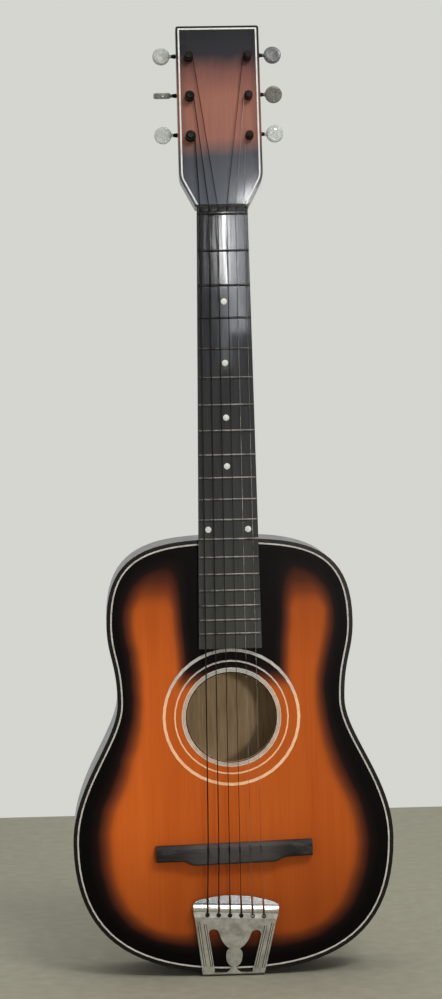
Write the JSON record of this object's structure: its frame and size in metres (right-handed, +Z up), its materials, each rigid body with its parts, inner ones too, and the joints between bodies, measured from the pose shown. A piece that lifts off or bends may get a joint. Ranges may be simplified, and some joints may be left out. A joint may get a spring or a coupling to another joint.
{
  "type": "acoustic guitar",
  "caption": "Flat-top acoustic guitar with a sunburst front, floating bridge, stamped tailpiece and slab headstock with geared tuners.",
  "frame": {"origin": "bottom centre of the bounding box, under the heads of the tail screws on which the guitar stands upright", "axes": "+Z up along the neck to the headstock, +Y from the soundboard to the back, +X to the treble side, which is on the right seen from the front"},
  "size_m": [0.324, 0.0986, 0.9605],
  "materials": {
    "sunburst_top": "gloss lacquered spruce with a black to orange sunburst",
    "black_lacquer": "black gloss lacquer over plywood",
    "bare_wood": "unfinished pale wood",
    "neck_lacquer": "dark stained and lacquered wood",
    "headstock_face": "gloss veneer shaded black, pinkish orange and black",
    "ebonised_wood": "worn black stained hardwood",
    "cream_inlay": "aged cream plastic strip",
    "pressed_steel": "pressed sheet with dulled nickel plating",
    "nickel_steel": "dulled nickel plated steel",
    "wound_string": "tarnished bronze wound string",
    "plain_string": "plain steel string",
    "knob_plastic": "aged grey pearl plastic"
  },
  "bodies": {
    "guitar": {"soundboard": "sunburst_top", "back_plate": "black_lacquer", "rib_bass": "black_lacquer", "rib_treble": "black_lacquer", "neck_block": "bare_wood", "tail_block": "bare_wood", "lining_front_bass": "bare_wood", "lining_front_treble": "bare_wood", "lining_back_bass": "bare_wood", "lining_back_treble": "bare_wood", "brace_upper": "bare_wood", "brace_above_soundhole": "bare_wood", "brace_below_soundhole": "bare_wood", "brace_lower": "bare_wood", "back_brace_upper": "bare_wood", "back_brace_middle": "bare_wood", "back_brace_lower": "bare_wood", "edge_binding": "black_lacquer", "edge_purfling": "cream_inlay", "rosette_inner": "cream_inlay", "rosette_middle": "cream_inlay", "rosette_outer": "cream_inlay", "neck": "neck_lacquer", "neck_bar": "nickel_steel", "fingerboard": "ebonised_wood", "nut": "ebonised_wood", "headstock_veneer": "headstock_face", "headstock_line": "cream_inlay", "bridge": "ebonised_wood", "tailpiece": "pressed_steel", "tail_screw_1": "nickel_steel", "tail_screw_2": "nickel_steel", "tail_screw_3": "nickel_steel", "string_6": "wound_string", "string_5": "wound_string", "string_4": "wound_string", "string_3": "wound_string", "string_2": "plain_string", "string_1": "plain_string", "tuner_plate_bass": "nickel_steel", "tuner_plate_treble": "nickel_steel"},
    "knob_bass_1": {"tuner_knob_bass_1": "knob_plastic", "tuner_worm_bass_1": "nickel_steel"},
    "post_bass_1": {"tuner_post_bass_1": "nickel_steel"},
    "knob_bass_2": {"tuner_knob_bass_2": "knob_plastic", "tuner_worm_bass_2": "nickel_steel"},
    "post_bass_2": {"tuner_post_bass_2": "nickel_steel"},
    "knob_bass_3": {"tuner_knob_bass_3": "knob_plastic", "tuner_worm_bass_3": "nickel_steel"},
    "post_bass_3": {"tuner_post_bass_3": "nickel_steel"},
    "knob_treble_1": {"tuner_knob_treble_1": "knob_plastic", "tuner_worm_treble_1": "nickel_steel"},
    "post_treble_1": {"tuner_post_treble_1": "nickel_steel"},
    "knob_treble_2": {"tuner_knob_treble_2": "knob_plastic", "tuner_worm_treble_2": "nickel_steel"},
    "post_treble_2": {"tuner_post_treble_2": "nickel_steel"},
    "knob_treble_3": {"tuner_knob_treble_3": "knob_plastic", "tuner_worm_treble_3": "nickel_steel"},
    "post_treble_3": {"tuner_post_treble_3": "nickel_steel"}
  },
  "joints": [
    {"name": "knob_turn_bass_1", "type": "hinge", "parent": "guitar", "child": "knob_bass_1", "pos_m": [-0.0295, 0.00181, 0.85084], "axis": [1, 0, 0], "continuous": true},
    {"name": "post_turn_bass_1", "type": "hinge", "parent": "guitar", "child": "post_bass_1", "pos_m": [-0.0295, -0.01984, 0.84614], "axis": [0, 0.9781, -0.2079], "continuous": true},
    {"name": "knob_turn_bass_2", "type": "hinge", "parent": "guitar", "child": "knob_bass_2", "pos_m": [-0.0295, 0.01044, 0.89143], "axis": [1, 0, 0], "continuous": true},
    {"name": "post_turn_bass_2", "type": "hinge", "parent": "guitar", "child": "post_bass_2", "pos_m": [-0.0295, -0.01121, 0.88673], "axis": [0, 0.9781, -0.2079], "continuous": true},
    {"name": "knob_turn_bass_3", "type": "hinge", "parent": "guitar", "child": "knob_bass_3", "pos_m": [-0.0295, 0.01907, 0.93203], "axis": [1, 0, 0], "continuous": true},
    {"name": "post_turn_bass_3", "type": "hinge", "parent": "guitar", "child": "post_bass_3", "pos_m": [-0.0295, -0.00258, 0.92732], "axis": [0, 0.9781, -0.2079], "continuous": true},
    {"name": "knob_turn_treble_1", "type": "hinge", "parent": "guitar", "child": "knob_treble_1", "pos_m": [0.0295, 0.00181, 0.85084], "axis": [1, 0, 0], "continuous": true},
    {"name": "post_turn_treble_1", "type": "hinge", "parent": "guitar", "child": "post_treble_1", "pos_m": [0.0295, -0.01984, 0.84614], "axis": [0, 0.9781, -0.2079], "continuous": true},
    {"name": "knob_turn_treble_2", "type": "hinge", "parent": "guitar", "child": "knob_treble_2", "pos_m": [0.0295, 0.01044, 0.89143], "axis": [1, 0, 0], "continuous": true},
    {"name": "post_turn_treble_2", "type": "hinge", "parent": "guitar", "child": "post_treble_2", "pos_m": [0.0295, -0.01121, 0.88673], "axis": [0, 0.9781, -0.2079], "continuous": true},
    {"name": "knob_turn_treble_3", "type": "hinge", "parent": "guitar", "child": "knob_treble_3", "pos_m": [0.0295, 0.01907, 0.93203], "axis": [1, 0, 0], "continuous": true},
    {"name": "post_turn_treble_3", "type": "hinge", "parent": "guitar", "child": "post_treble_3", "pos_m": [0.0295, -0.00258, 0.92732], "axis": [0, 0.9781, -0.2079], "continuous": true}
  ],
  "couplings": [
    {"joint": "post_turn_bass_1", "follows": "knob_turn_bass_1", "ratio": -0.071429},
    {"joint": "post_turn_bass_2", "follows": "knob_turn_bass_2", "ratio": -0.071429},
    {"joint": "post_turn_bass_3", "follows": "knob_turn_bass_3", "ratio": -0.071429},
    {"joint": "post_turn_treble_1", "follows": "knob_turn_treble_1", "ratio": -0.071429},
    {"joint": "post_turn_treble_2", "follows": "knob_turn_treble_2", "ratio": -0.071429},
    {"joint": "post_turn_treble_3", "follows": "knob_turn_treble_3", "ratio": -0.071429}
  ]
}
